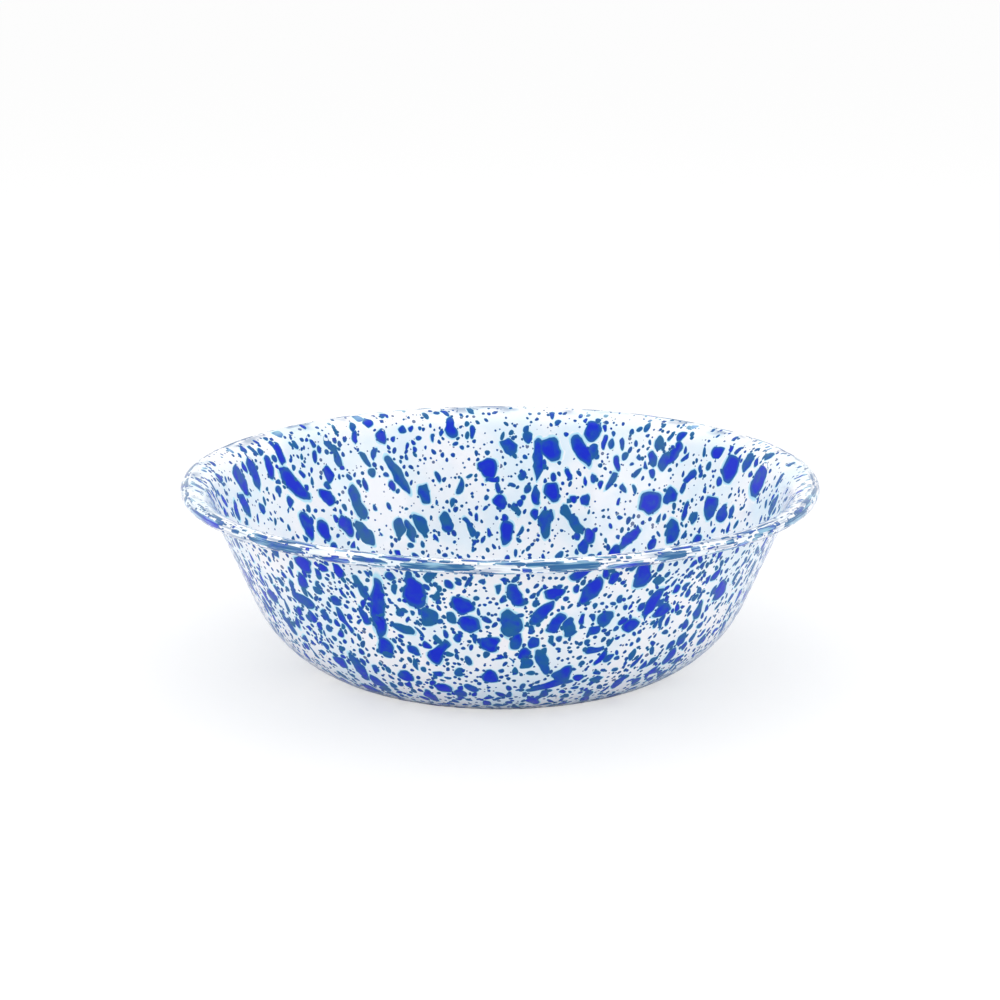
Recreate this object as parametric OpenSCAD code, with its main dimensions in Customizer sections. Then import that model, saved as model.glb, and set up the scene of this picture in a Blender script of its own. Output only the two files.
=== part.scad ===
// Enamelled steel basin: one drawn pressing with a rolled rim, glass enamel fused to
// both faces in two coats, and blue enamel drops fused on top of the white.
// +Z is up. The origin is the centre of the flat ring that the basin stands on.

/* [Basin] */
// Diameter over the rolled rim
rim_d = 305; // [296:1:325]
// Height from the table to the top of the rim
basin_h = 90; // [84:1:100]
// Radius of the broad curve from the foot up into the straight wall
belly_r = 62.5; // [54:0.5:66]
// Radius of the tighter curve beside the foot ring
knuckle_r = 18; // [12:1:26]
// Slope at which the tighter curve gives way to the broad one, in degrees
knuckle_deg = 25; // [15:1:35]

/* [Foot] */
// Outside diameter of the flat ring that the basin stands on
foot_d = 161; // [148:1:168]
// Width of that flat ring
land_w = 5; // [3:0.5:8]
// Height by which the centre panel is pushed up off the table
panel_rise = 0.8; // [0.4:0.1:1.6]
// Radius of the two soft curves between the ring and the centre panel
step_r = 6; // [4:0.5:10]

/* [Rim] */
// Radius of the curve on the underside, where the wall turns out into the flange
flare_r = 13; // [10:0.5:16]
// Slope of the flange where it runs into the rolled edge, in degrees
flare_deg = 10; // [4:1:14]
// Diameter of the rolled edge
bead_d = 6.2; // [5.4:0.1:8]
// How far round the edge is rolled, in degrees
roll_deg = 268; // [220:2:280]
// Slope of the flange at which the underside's enamel ends, inside the roll, in degrees
coat_stop_deg = 20; // [16:1:26]

/* [Sheet and enamel] */
// Thickness of the steel sheet
steel_t = 0.8; // [0.6:0.05:1.2]
// Thickness of the cobalt bonding coat on each face
ground_t = 0.15; // [0.1:0.01:0.2]
// Thickness of the white cover coat on each face
cover_t = 0.25; // [0.2:0.01:0.4]

/* [Splatter] */
// How far the blue drops stand proud of the white enamel
drop_t = 0.12; // [0.1:0.01:0.2]
// Diameter of the smallest large drop
drop_min_d = 4; // [3:0.5:6]
// Diameter of the largest drop
drop_max_d = 10; // [7:0.5:12]
// Number of large drops on the floor of the basin
floor_drops = 22; // [8:1:30]
// Number of large drops on each face of the straight wall
wall_drops = 36; // [12:1:44]
// Number of large drops on each face of the belly
belly_drops = 20; // [8:1:26]
// Number of streaks along the rolled rim
rim_streaks = 24; // [8:1:30]
// Length of the longest streak along the rolled rim
rim_streak_l = 16; // [6:1:20]

/* [Hidden] */
$fn = 180;

// Half sizes and the depth of each layer, counted from the outer face of the basin
rim_r = rim_d / 2;
foot_r = foot_d / 2;
bead_r = bead_d / 2;
outer_ground_u = cover_t;
steel_u = outer_ground_u + ground_t;
inner_ground_u = steel_u + steel_t;
inner_cover_u = inner_ground_u + ground_t;
sheet_t = inner_cover_u + cover_t;

// Slope of the soft step between the foot ring and the centre panel
step_deg = acos(1 - panel_rise / (2 * step_r));
land_in_r = foot_r - land_w;
panel_r = land_in_r - 2 * step_r * sin(step_deg);

// Direction that points into the basin, square to a sheet that climbs at h degrees
function inward(h) = [-sin(h), cos(h)];

// Centres of the arcs, in radius and height, worked out from the foot and from the rim
step_top_c = [panel_r, panel_rise - step_r];
step_low_c = [land_in_r, step_r];
knuckle_c = [foot_r, knuckle_r];
bead_c = [rim_r - bead_r, basin_h - bead_r];
flare_c = bead_c + (bead_r - flare_r - sheet_t) * inward(flare_deg);

// The broad curve is no larger than what makes the wall above it stand upright
upright_r = (flare_c[0] - flare_r - foot_r - knuckle_r * sin(knuckle_deg)) / (1 - sin(knuckle_deg));
curve_r = min(belly_r, upright_r);
belly_c = knuckle_c + (curve_r - knuckle_r) * inward(knuckle_deg);

// The straight wall is the line that touches both the belly's arc and the flare's arc
centre_gap = flare_c - belly_c;
wall_deg = atan2(centre_gap[1], centre_gap[0]) + asin((curve_r + flare_r) / norm(centre_gap));
wall_l = norm(centre_gap) * cos(wall_deg - atan2(centre_gap[1], centre_gap[0]));

// Slope change covered by one facet of a broad arc and of the small roll
arc_step_deg = 5;
roll_step_deg = 15;

function arc_slopes(h0, h1, step) =
    let (n = max(1, ceil(abs(h1 - h0) / step)))
    [for (i = [0:n]) h0 + (h1 - h0) * i / n];

// Arc that curls up into the basin, and arc that curls out and down
function rising_arc(c, r, h0, h1, step) = [for (h = arc_slopes(h0, h1, step)) c - r * inward(h)];
function falling_arc(c, r, h0, h1, step) = [for (h = arc_slopes(h0, h1, step)) c + r * inward(h)];

// Points of the sheet's section at depth u, up to the slope at which the flare stops
function bottom_line(u) = concat(
    [[0, panel_rise + u]],
    falling_arc(step_top_c, step_r + u, 0, -step_deg, arc_step_deg),
    rising_arc(step_low_c, step_r - u, -step_deg, 0, arc_step_deg),
    rising_arc(knuckle_c, knuckle_r - u, 0, knuckle_deg, arc_step_deg));
function belly_line(u) = rising_arc(belly_c, curve_r - u, knuckle_deg, wall_deg, arc_step_deg);
function flare_line(u, stop_deg) = falling_arc(flare_c, flare_r + u, wall_deg, stop_deg, arc_step_deg);
function roll_line(u) =
    falling_arc(bead_c, bead_r - sheet_t + u, flare_deg, flare_deg - roll_deg, roll_step_deg);

// Leaves out a point that repeats the one before it, where two arcs meet
function joined(pts) = [for (i = [0:len(pts) - 1]) if (i == 0 || norm(pts[i] - pts[i - 1]) > tiny) pts[i]];
tiny = steel_t / 1000;

function under_line(u) = joined(concat(bottom_line(u), belly_line(u), flare_line(u, coat_stop_deg)));
function full_line(u) = joined(concat(bottom_line(u), belly_line(u), flare_line(u, flare_deg), roll_line(u)));

function reversed(pts) = [for (i = [len(pts) - 1:-1:0]) pts[i]];
module layer(low, high) rotate_extrude() polygon(concat(low, reversed(high)));

module steel_shell() {
    color("gray") layer(full_line(steel_u), full_line(inner_ground_u));
}

module inner_ground_coat() {
    color("midnightblue") layer(full_line(inner_ground_u), full_line(inner_cover_u));
}

module outer_ground_coat() {
    color("midnightblue") layer(under_line(outer_ground_u), under_line(steel_u));
}

module inner_white_coat() {
    color("white") layer(full_line(inner_cover_u), full_line(sheet_t));
}

module outer_white_coat() {
    color("white") layer(under_line(0), under_line(outer_ground_u));
}

// Shape of one drop: a round head, with a neck and a smaller tail drawn out along +X
neck_share = 0.55;
tail_share = 0.65;
reach_shares = [0.65, 1.7];
lean_deg = 25;
drop_fn = 48;
module drop_shape(d, reach) {
    translate([-reach / 2, 0]) union() {
        circle(d = d, $fn = drop_fn);
        translate([reach / 2, 0]) square([reach, neck_share * d], center = true);
        translate([reach, 0]) circle(d = tail_share * d, $fn = drop_fn);
    }
}

// One drop's diameter, reach, place along the sheet, lean and which way its tail points.
// The shares are squared for the diameter, so that small drops outnumber large ones.
function mix(low, high, share) = low + (high - low) * share;
function drop_d(share) = mix(drop_min_d, drop_max_d, pow(share, 2));
function drop_reach(d, share) = d * mix(reach_shares[0], reach_shares[1], share);
function drop_turn(share, flip) = lean_deg * (2 * share - 1) + 180 * round(flip);

// Puts a drop's plane on the sheet at point p, where it climbs at h degrees
module on_sheet(p, h, az) {
    rotate([0, 0, az]) translate([p[0], 0, p[1]]) rotate([0, -h, 0]) children();
}

module drop_cutter(d, reach, turn) {
    rotate([0, 0, turn]) linear_extrude(height = drop_max_d, center = true) drop_shape(d, reach);
}

// Drops on the straight wall's face at depth face_u, one to each equal slot of the
// circumference, as prisms that cut a thin skin between depths u0 and u1
function wall_point(u, run) =
    belly_c - (curve_r - u) * inward(wall_deg) + run * [cos(wall_deg), sin(wall_deg)];
function wall_line(u) = [wall_point(u, 0), wall_point(u, wall_l)];
module wall_splatter(face_u, u0, u1, seed) {
    spread = rands(0, 1, 5 * wall_drops, seed);
    intersection() {
        layer(wall_line(u0), wall_line(u1));
        union() for (i = [0:wall_drops - 1]) {
            d = drop_d(spread[5 * i]);
            reach = drop_reach(d, spread[5 * i + 1]);
            run = mix(d + reach / 2, wall_l - d - reach / 2, spread[5 * i + 2]);
            on_sheet(wall_point(face_u, run), wall_deg, 360 * i / wall_drops)
                drop_cutter(d, reach, drop_turn(spread[5 * i + 3], spread[5 * i + 4]));
        }
    }
}

// The same on the belly's face
module belly_splatter(face_u, u0, u1, seed) {
    spread = rands(0, 1, 5 * belly_drops, seed);
    intersection() {
        layer(joined(belly_line(u0)), joined(belly_line(u1)));
        union() for (i = [0:belly_drops - 1]) {
            d = drop_d(spread[5 * i]);
            reach = drop_reach(d, spread[5 * i + 1]);
            margin_deg = (d + reach / 2) / curve_r * 180 / PI;
            h = mix(knuckle_deg + margin_deg, wall_deg - margin_deg, spread[5 * i + 2]);
            on_sheet(belly_c - (curve_r - face_u) * inward(h), h, 360 * i / belly_drops)
                drop_cutter(d, reach, drop_turn(spread[5 * i + 3], spread[5 * i + 4]));
        }
    }
}

// Drops on the flat centre panel, on a spiral that spaces them evenly
spiral_deg = 137.508;
panel_fill_share = 0.85;
module floor_splatter(seed) {
    spread = rands(0, 1, 2 * floor_drops, seed);
    for (i = [0:floor_drops - 1]) {
        d = drop_d(spread[2 * i]);
        rotate([0, 0, spiral_deg * i])
            translate([panel_fill_share * panel_r * sqrt((i + 0.5) / floor_drops), 0, panel_rise + sheet_t])
                rotate([0, 0, 360 * spread[2 * i + 1]])
                    linear_extrude(height = drop_t) drop_shape(d, drop_reach(d, 0));
    }
}

module inner_splatter() {
    color("royalblue") {
        floor_splatter(11);
        wall_splatter(sheet_t, sheet_t, sheet_t + drop_t, 12);
        belly_splatter(sheet_t, sheet_t, sheet_t + drop_t, 13);
    }
}

module outer_splatter() {
    color("royalblue") {
        wall_splatter(0, -drop_t, 0, 21);
        belly_splatter(0, -drop_t, 0, 22);
    }
}

// Streaks drawn out along the outer side of the roll: the slopes between which one
// starts, the slopes that it covers, and the least share of the longest length
streak_start_degs = [-20, -40];
streak_span_degs = [16, 32];
streak_least_share = 0.3;
module rim_splatter() {
    spread = rands(0, 1, 3 * rim_streaks, 31);
    color("royalblue") for (i = [0:rim_streaks - 1]) {
        h0 = mix(streak_start_degs[0], streak_start_degs[1], spread[3 * i]);
        h1 = h0 - mix(streak_span_degs[0], streak_span_degs[1], spread[3 * i + 1]);
        turn = mix(streak_least_share, 1, spread[3 * i + 2]) * rim_streak_l / rim_r * 180 / PI;
        low = falling_arc(bead_c, bead_r, h0, h1, roll_step_deg);
        high = falling_arc(bead_c, bead_r + drop_t, h0, h1, roll_step_deg);
        rotate([0, 0, 360 * i / rim_streaks]) rotate_extrude(angle = turn) polygon(concat(low, reversed(high)));
    }
}

steel_shell();
inner_ground_coat();
outer_ground_coat();
inner_white_coat();
outer_white_coat();
inner_splatter();
outer_splatter();
rim_splatter();
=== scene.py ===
"""Dresses the enamelled basin: two coats of white enamel, blue splatter fused over them, and a pale stage."""

import math

import bpy
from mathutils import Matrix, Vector


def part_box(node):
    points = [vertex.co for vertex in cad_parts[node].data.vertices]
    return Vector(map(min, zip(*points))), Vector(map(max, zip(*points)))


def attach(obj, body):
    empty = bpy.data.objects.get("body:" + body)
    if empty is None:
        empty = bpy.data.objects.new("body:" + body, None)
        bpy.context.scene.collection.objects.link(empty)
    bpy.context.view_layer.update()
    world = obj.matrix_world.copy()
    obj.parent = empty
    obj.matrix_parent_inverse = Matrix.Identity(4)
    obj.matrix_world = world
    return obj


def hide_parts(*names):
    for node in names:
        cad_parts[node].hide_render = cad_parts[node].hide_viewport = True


bl_info = {
    "name": "Splattered Enamel Basin",
    "version": (1, 0, 0),
    "blender": (4, 5, 0),
    "location": "3D View > Sidebar > Basin",
    "description": "Builds a white enamel basin with blue splatter around its steel pressing",
    "category": "Add Mesh",
}

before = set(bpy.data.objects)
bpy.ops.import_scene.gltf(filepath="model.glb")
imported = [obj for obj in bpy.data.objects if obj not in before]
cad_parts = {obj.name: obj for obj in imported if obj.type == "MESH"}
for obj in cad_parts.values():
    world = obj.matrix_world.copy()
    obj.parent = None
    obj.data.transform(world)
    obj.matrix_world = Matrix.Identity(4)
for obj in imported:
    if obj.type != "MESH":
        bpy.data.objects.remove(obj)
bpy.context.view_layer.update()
white_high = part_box("inner_white_coat")[1]

BODY = "root"
MM = 0.001


# Properties that a user would change

def length_property(name, about, default):
    return bpy.props.FloatProperty(name=name, description=about, default=default, min=0.0,
                                   unit="LENGTH", subtype="DISTANCE", precision=5)


def angle_property(name, about, degrees):
    return bpy.props.FloatProperty(name=name, description=about, default=math.radians(degrees),
                                   unit="ROTATION", subtype="ANGLE")


def number_property(name, about, default, unit="NONE"):
    return bpy.props.FloatProperty(name=name, description=about, default=default, min=0.0, unit=unit)


def count_property(name, about, default):
    return bpy.props.IntProperty(name=name, description=about, default=default, min=1)


def colour_property(name, about, default):
    return bpy.props.FloatVectorProperty(name=name, description=about, default=default, size=3,
                                         min=0.0, max=1.0, subtype="COLOR")


class BasinShape(bpy.types.PropertyGroup):
    """Sizes of the pressing and of the enamel on it"""
    rim_radius: length_property("Rim radius", "From the axis to the outside of the roll", white_high.x)
    height: length_property("Height", "From the table to the top of the roll", white_high.z)
    belly_radius: length_property("Belly radius", "Broad curve from the foot up into the wall", 62.5 * MM)
    knuckle_radius: length_property("Knuckle radius", "Tighter curve beside the foot ring", 18 * MM)
    knuckle_slope: angle_property("Knuckle slope", "Slope at which the tighter curve ends", 25)
    foot_radius: length_property("Foot radius", "Outside radius of the flat foot ring", 80.5 * MM)
    land_width: length_property("Land width", "Width of the flat foot ring", 5 * MM)
    panel_rise: length_property("Panel rise", "Height of the centre panel off the table", 0.8 * MM)
    step_radius: length_property("Step radius", "Soft curves between the ring and the panel", 6 * MM)
    flare_radius: length_property("Flare radius", "Curve of the underside out into the flange", 13 * MM)
    flare_slope: angle_property("Flare slope", "Slope of the flange where it meets the roll", 10)
    roll_radius: length_property("Roll radius", "Radius of the rolled edge", 3.1 * MM)
    roll_turn: angle_property("Roll turn", "How far round the edge is rolled", 268)
    under_stop: angle_property("Underside stop", "Slope of the flange where the underside's enamel ends", 20)
    sheet: length_property("Sheet", "Steel and both faces' enamel together", 1.6 * MM)
    cover: length_property("Cover coat", "Thickness of the white enamel on each face", 0.25 * MM)
    arc_step: angle_property("Arc step", "Slope change covered by one row of faces", 2.5)
    roll_step: angle_property("Roll step", "The same on the roll", 11)
    around: count_property("Around", "Faces around the basin", 288)


class SplatterLook(bpy.types.PropertyGroup):
    """Sizes and colours of the blue drops"""
    thickness: length_property("Thickness", "How far a large drop stands proud of the white", 0.10 * MM)
    bury: length_property("Bury", "How far a drop's underside lies within the white", 0.012 * MM)
    gap: length_property("Gap", "White line left between neighbouring drops", 0.1 * MM)
    wobble: length_property("Wobble", "How far the outline of a large drop wanders", 5.6 * MM)
    wobble_size: length_property("Wobble size", "Size of the wanders along a large drop's outline", 8 * MM)
    ripple: length_property("Ripple", "How far the finer wanders go", 1.4 * MM)
    ripple_size: length_property("Ripple size", "Size of the finer wanders", 3.0 * MM)
    cobalt: colour_property("Cobalt", "Thick blue enamel", (0.002, 0.022, 0.58))
    teal: colour_property("Teal", "Thin or overfired blue enamel", (0.008, 0.120, 0.31))
    halo: colour_property("Halo", "White enamel stained at the edge of a drop", (0.45, 0.77, 0.89))
    navy: colour_property("Navy", "The smallest specks", (0.012, 0.064, 0.22))


class EnamelLook(bpy.types.PropertyGroup):
    """Colours of the white enamel and of what lies under it"""
    white: colour_property("White", "Cover enamel", (0.93, 0.92, 0.93))
    shade: colour_property("Shade", "Cover enamel where it lies thin", (0.76, 0.865, 0.925))
    ground: colour_property("Ground", "Bonding enamel on the steel", (0.012, 0.018, 0.070))
    steel: colour_property("Steel", "Drawn sheet steel", (0.42, 0.42, 0.43))


class StageLook(bpy.types.PropertyGroup):
    """Camera, floor and lamps"""
    distance: length_property("Camera distance", "From the point looked at", 1.192)
    elevation: angle_property("Elevation", "Camera's height above the horizon", 14.67)
    aim_height: length_property("Aim height", "Height of the point looked at", 77 * MM)
    lens: number_property("Lens", "Focal length", 89.03, "CAMERA")
    sky: number_property("Sky", "Strength of the light from all around", 0.95)
    key: number_property("Key", "Power of the large lamp overhead", 4.5, "POWER")
    fill: number_property("Fill", "Power of each side lamp", 3.0, "POWER")
    floor: colour_property("Floor", "Plain pale floor", (0.88, 0.88, 0.91))


# Node trees, written as formulas

class Wire:
    """A socket of a node tree. Arithmetic on wires adds Math nodes, so a rule is written as a formula."""

    def __init__(self, net, socket):
        self.net = net
        self.socket = socket

    def maths(self, operation, *values):
        return self.net.add("ShaderNodeMath", {"operation": operation}, *values)[0]

    def absolute(self):
        return self.maths("ABSOLUTE", self)

    def __add__(self, other):
        return self.maths("ADD", self, other)

    __radd__ = __add__

    def __sub__(self, other):
        return self.maths("SUBTRACT", self, other)

    def __rsub__(self, other):
        return self.maths("SUBTRACT", other, self)

    def __mul__(self, other):
        return self.maths("MULTIPLY", self, other)

    __rmul__ = __mul__

    def __truediv__(self, other):
        return self.maths("DIVIDE", self, other)

    def __rtruediv__(self, other):
        return self.maths("DIVIDE", other, self)

    def __pow__(self, other):
        return self.maths("POWER", self, other)

    def __mod__(self, other):
        return self.maths("FLOORED_MODULO", self, other)

    def __lt__(self, other):
        return self.maths("LESS_THAN", self, other)

    def __gt__(self, other):
        return self.maths("GREATER_THAN", self, other)

    def least(self, other):
        return self.maths("MINIMUM", self, other)

    def most(self, other):
        return self.maths("MAXIMUM", self, other)

    def floor(self):
        return self.maths("FLOOR", self)

    def rounded(self):
        return self.maths("ROUND", self)

    def cosine(self):
        return self.maths("COSINE", self)

    def sine(self):
        return self.maths("SINE", self)

    def clamped(self):
        return self.net.add("ShaderNodeClamp", {}, self)[0]

    def eased(self, low, high):
        """0 below low, 1 above high and smooth between."""
        return self.net.add("ShaderNodeMapRange", {"interpolation_type": "SMOOTHSTEP"}, self, low, high)[0]


class Outs:
    """The outputs of a node, by name or by place among those in use."""

    def __init__(self, net, node):
        self.net = net
        self.sockets = [socket for socket in node.outputs if socket.enabled]

    def __getitem__(self, key):
        if isinstance(key, int):
            return Wire(self.net, self.sockets[key])
        return Wire(self.net, next(socket for socket in self.sockets if socket.name == key))


class Net:
    """A node tree being written."""

    def __init__(self, tree):
        self.tree = tree

    def add(self, kind, settings, *values, **named):
        """Adds a node of a kind with its settings, then fills its sockets in order, or by name.

        In a name, _ stands for a space. A wire is linked, a list gives one socket several links, and None
        leaves a socket as it is."""
        node = self.tree.nodes.new(kind)
        for key, value in settings.items():
            setattr(node, key, value)
        sockets = [socket for socket in node.inputs if socket.enabled]
        given = list(zip(sockets, values))
        for key, value in named.items():
            label = key.replace("_", " ")
            given.append((next(socket for socket in sockets if socket.name == label), value))
        for socket, value in given:
            for one in value if isinstance(value, list) else [value]:
                if isinstance(one, Wire):
                    self.tree.links.new(one.socket, socket)
                elif one is not None:
                    socket.default_value = one
        return Outs(self, node)

    def vector(self, operation, *values):
        return self.add("ShaderNodeVectorMath", {"operation": operation}, *values)[0]

    def scaled(self, vector, factor):
        return self.add("ShaderNodeVectorMath", {"operation": "SCALE"}, Vector=vector, Scale=factor)[0]

    def xyz(self, x, y, z):
        return self.add("ShaderNodeCombineXYZ", {}, x, y, z)[0]

    def parts(self, vector):
        """The X, Y and Z of a vector, by name."""
        return self.add("ShaderNodeSeparateXYZ", {}, vector)

    def noise(self, place, size, detail=2.0, roughness=0.5):
        """Noise whose features are about size across."""
        return self.add("ShaderNodeTexNoise", {}, Vector=place, Scale=1 / size, Detail=detail,
                        Roughness=roughness)

    def blend(self, factor, a, b):
        """A colour between two colours."""
        def opaque(colour):
            return colour if isinstance(colour, Wire) else (*colour, 1.0)
        return self.add("ShaderNodeMix", {"data_type": "RGBA"}, factor, opaque(a), opaque(b))[0]

    def between(self, factor, a, b):
        """A vector between two vectors."""
        return self.add("ShaderNodeMix", {"data_type": "VECTOR"}, Factor=factor, A=a, B=b)[0]


def from_axis(at):
    """How far a place lies from the Z axis, from its X and Y."""
    return (at["X"] * at["X"] + at["Y"] * at["Y"]) ** 0.5


# What a group's inputs hold
GEOMETRY = "NodeSocketGeometry"
FLOAT = "NodeSocketFloat"
WHOLE = "NodeSocketInt"
OBJECT = "NodeSocketObject"
MATERIAL = "NodeSocketMaterial"

# Settings of a node that reads vectors
VECTORS = {"data_type": "FLOAT_VECTOR"}


class TreeNet(Net):
    """A geometry node group, with its named inputs and one geometry output."""

    def __init__(self, name, inputs):
        super().__init__(bpy.data.node_groups.new(name, "GeometryNodeTree"))
        for label, kind, *default in inputs:
            socket = self.tree.interface.new_socket(label, in_out="INPUT", socket_type=kind)
            if default:
                socket.default_value = default[0]
        self.tree.interface.new_socket("Geometry", in_out="OUTPUT", socket_type=GEOMETRY)
        self.given = self.add("NodeGroupInput", {})

    def result(self, geometry):
        self.add("NodeGroupOutput", {}, geometry)
        return self.tree

    def painted(self, geometry):
        """Ends a tree whose result is a piece: all of it is made real and takes the given material."""
        real = self.add("GeometryNodeRealizeInstances", {}, geometry)[0]
        material = self.given["Material"]
        return self.result(self.add("GeometryNodeSetMaterial", {}, Geometry=real, Material=material)[0])

    def group(self, tree, **named):
        return self.add("GeometryNodeGroup", {"node_tree": tree}, **named)[0]

    def place(self):
        return self.add("GeometryNodeInputPosition", {})[0]

    def moved(self, geometry, place):
        return self.add("GeometryNodeSetPosition", {}, Geometry=geometry, Position=place)[0]

    def nearest_face(self, faces, place):
        return self.add("GeometryNodeProximity", {"target_element": "FACES"}, Geometry=faces,
                        Sample_Position=place)

    def normal_at(self, surface, place):
        """Which way a surface faces at its point nearest to a place."""
        own_normal = self.add("GeometryNodeInputNormal", {})[0]
        return self.add("GeometryNodeSampleNearestSurface", VECTORS, Mesh=surface, Value=own_normal,
                        Sample_Position=place)[0]

    def random(self, low, high, salt):
        """A random number for each point or drop."""
        return self.add("FunctionNodeRandomValue", {"data_type": "FLOAT"}, Min=low, Max=high,
                        Seed=self.given["Seed"] + salt)[0]

    def stored(self, geometry, domain, name, value, kind="FLOAT"):
        settings = {"data_type": kind, "domain": domain}
        return self.add("GeometryNodeStoreNamedAttribute", settings, Geometry=geometry, Name=name,
                        Value=value)[0]

    def attribute(self, name, kind="FLOAT"):
        return self.add("GeometryNodeInputNamedAttribute", {"data_type": kind}, name)[0]


# Points that lie closer together than this count as one
SAME_POINT = 0.002 * MM


def lathe_tree():
    """Turns a section, whose points are (radius, 0, height), once around the Z axis."""
    net = TreeNet("Lathe", [("Section", GEOMETRY), ("Around", WHOLE)])
    section = net.given["Section"]
    around = net.given["Around"]
    rows = net.add("GeometryNodeAttributeDomainSize", {}, section)["Point Count"]
    grid = net.add("GeometryNodeMeshGrid", {}, Vertices_X=around + 1, Vertices_Y=rows)["Mesh"]
    index = net.add("GeometryNodeInputIndex", {})[0]
    on_section = net.add("GeometryNodeSampleIndex", VECTORS, section, net.place(), index % rows)[0]
    point = net.parts(on_section)
    turn = (index / rows).floor() * math.tau / around
    turned = net.xyz(point["X"] * turn.cosine(), point["X"] * turn.sine(), point["Z"])
    shaped = net.moved(grid, turned)
    merged = net.add("GeometryNodeMergeByDistance", {}, Geometry=shaped, Distance=SAME_POINT)[0]
    return net.result(net.add("GeometryNodeSetShadeSmooth", {}, Geometry=merged, Shade_Smooth=True)[0])


def coat_tree(lathe):
    """One coat of enamel: its whole section, turned."""
    net = TreeNet("Enamel coat", [("Section", GEOMETRY), ("Around", WHOLE), ("Material", MATERIAL)])
    return net.painted(net.group(lathe, Section=net.given["Section"], Around=net.given["Around"]))


# Forms of a drop's outline: how far it is drawn to an egg, and how far bent to a bean
MOLD_FORMS = ((0.0, 0.0), (0.25, 0.0), (0.15, 0.25), (-0.2, -0.2))

# How far a drop's thin skirt spreads past its radius, as a share of the radius
SKIRT = 0.25

# How far a drop's underside sinks and its top rises in the middle, as shares of its thickness
BELOW = 1.7
ABOVE = 0.5

# Edges between a drop's faces that meet more sharply than this, in radians, stay crisp
CRISP_EDGE = 1.7


def mold(net, sides, steps, rings, top, bluntness, taper, bend):
    """One drop of radius 1 and height 1, lying flat: a low dome in a thin skirt."""
    cone = net.add("GeometryNodeMeshCone", {"fill_type": "TRIANGLE_FAN"}, Vertices=sides,
                   Side_Segments=steps, Fill_Segments=rings, Radius_Top=top, Radius_Bottom=1.0,
                   Depth=1.0)["Mesh"]
    at = net.parts(net.place())
    square_x = at["X"] * at["X"]
    square_y = at["Y"] * at["Y"]
    outward = square_x + square_y
    sunk = BELOW * (at["Z"] < 0.01) * (1 - outward).most(0)
    domed = ABOVE * (at["Z"] > 0.99) * (1 - outward / max(top * top, 0.01)).clamped()
    risen = net.stored(cone, "POINT", "rise", at["Z"] * (0.2 + 0.8 * at["Z"]) + domed - sunk)
    low = 1 - at["Z"] * at["Z"]
    blunt_x = at["X"] * (1 + bluntness * square_y) * (1 + 0.5 * SKIRT * low)
    blunt_y = at["Y"] * (1 + bluntness * square_x) * (1 + SKIRT * low)
    drawn = net.xyz(blunt_x, blunt_y * (1 + taper * at["X"]) + bend * (square_x - 0.4), at["Z"])
    outline = net.add("GeometryNodeInputMeshEdgeAngle", {})["Unsigned Angle"] > CRISP_EDGE
    creased = net.add("GeometryNodeSetShadeSmooth", {"domain": "EDGE"}, Geometry=risen, Selection=outline,
                      Shade_Smooth=False)[0]
    return net.add("GeometryNodeGeometryToInstance", {}, net.moved(creased, drawn))[0]


def molds_tree(name, sides, steps, rings, top, bluntness):
    """The molds of one class of drops, one instance for each form."""
    net = TreeNet(name, [])
    forms = [mold(net, sides, steps, rings, top, bluntness, taper, bend) for taper, bend in MOLD_FORMS]
    return net.result(net.add("GeometryNodeJoinGeometry", {}, list(reversed(forms)))[0])


# Height of a drop while it is planted flat, before it is laid on the enamel
FLAT = 0.001 * MM

UP = (0.0, 0.0, 1.0)


def plant_tree():
    """Sets a flat drop on the surface at each point, and makes the drops real.

    Each drop keeps its tone and its middle. It lies uphill, or around the basin where Across is 1."""
    net = TreeNet("Plant drops", [
        ("Points", GEOMETRY), ("Surface", GEOMETRY), ("Molds", GEOMETRY), ("Length", FLOAT),
        ("Width", FLOAT), ("Turn", FLOAT), ("Tone", FLOAT), ("Across", FLOAT), ("Seed", WHOLE)])
    given = net.given
    place = net.place()
    normal = net.normal_at(given["Surface"], place)
    around = net.vector("NORMALIZE", net.vector("CROSS_PRODUCT", UP, place))
    uphill = net.vector("CROSS_PRODUCT", around, normal)
    along = net.between(given["Across"], uphill, around)
    settled = net.add("FunctionNodeAxesToRotation", {"primary_axis": "Z", "secondary_axis": "X"}, normal,
                      along)[0]
    turn = net.add("FunctionNodeAxisAngleToRotation", {}, UP, given["Turn"])[0]
    turned = net.add("FunctionNodeRotateRotation", {"rotation_space": "LOCAL"}, settled, turn)[0]
    pick = net.add("FunctionNodeRandomValue", {"data_type": "INT"}, Min=0, Max=len(MOLD_FORMS) - 1,
                   Seed=given["Seed"] + 7)[0]
    size = net.xyz(given["Length"] / 2, given["Width"] / 2, FLAT)
    drops = net.add("GeometryNodeInstanceOnPoints", {}, Points=given["Points"], Instance=given["Molds"],
                    Pick_Instance=True, Instance_Index=pick, Rotation=turned, Scale=size)[0]
    toned = net.stored(drops, "INSTANCE", "tone", given["Tone"])
    centred = net.stored(toned, "INSTANCE", "middle", place, "FLOAT_VECTOR")
    return net.result(net.add("GeometryNodeRealizeInstances", {}, centred)[0])


# Size of the denser and thinner patches of splatter, and the levels of noise between which a patch fills
PATCH_SIZE = 26 * MM
PATCH_LOW = 0.42
PATCH_HIGH = 0.58

# Points offered to each square of a layer's spacing, before those that lie too close are dropped
OFFERED = 3

# How far each drop may run into a neighbour, and how much further a merging one may, as shares of the
# layer's smallest width
OVERLAP_SHARE = 0.15
MERGING_SHARE = 0.45

# Room that a drop has towards the edge of the surface, as a share of its distance
EDGE_SHARE = 0.6

# A drop narrower than this share of the layer's smallest width is left out
CROWDED_SHARE = 0.75

# How much a drop's tone adds to its height, as a share of it
TONE_SHARE = 0.12


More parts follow.
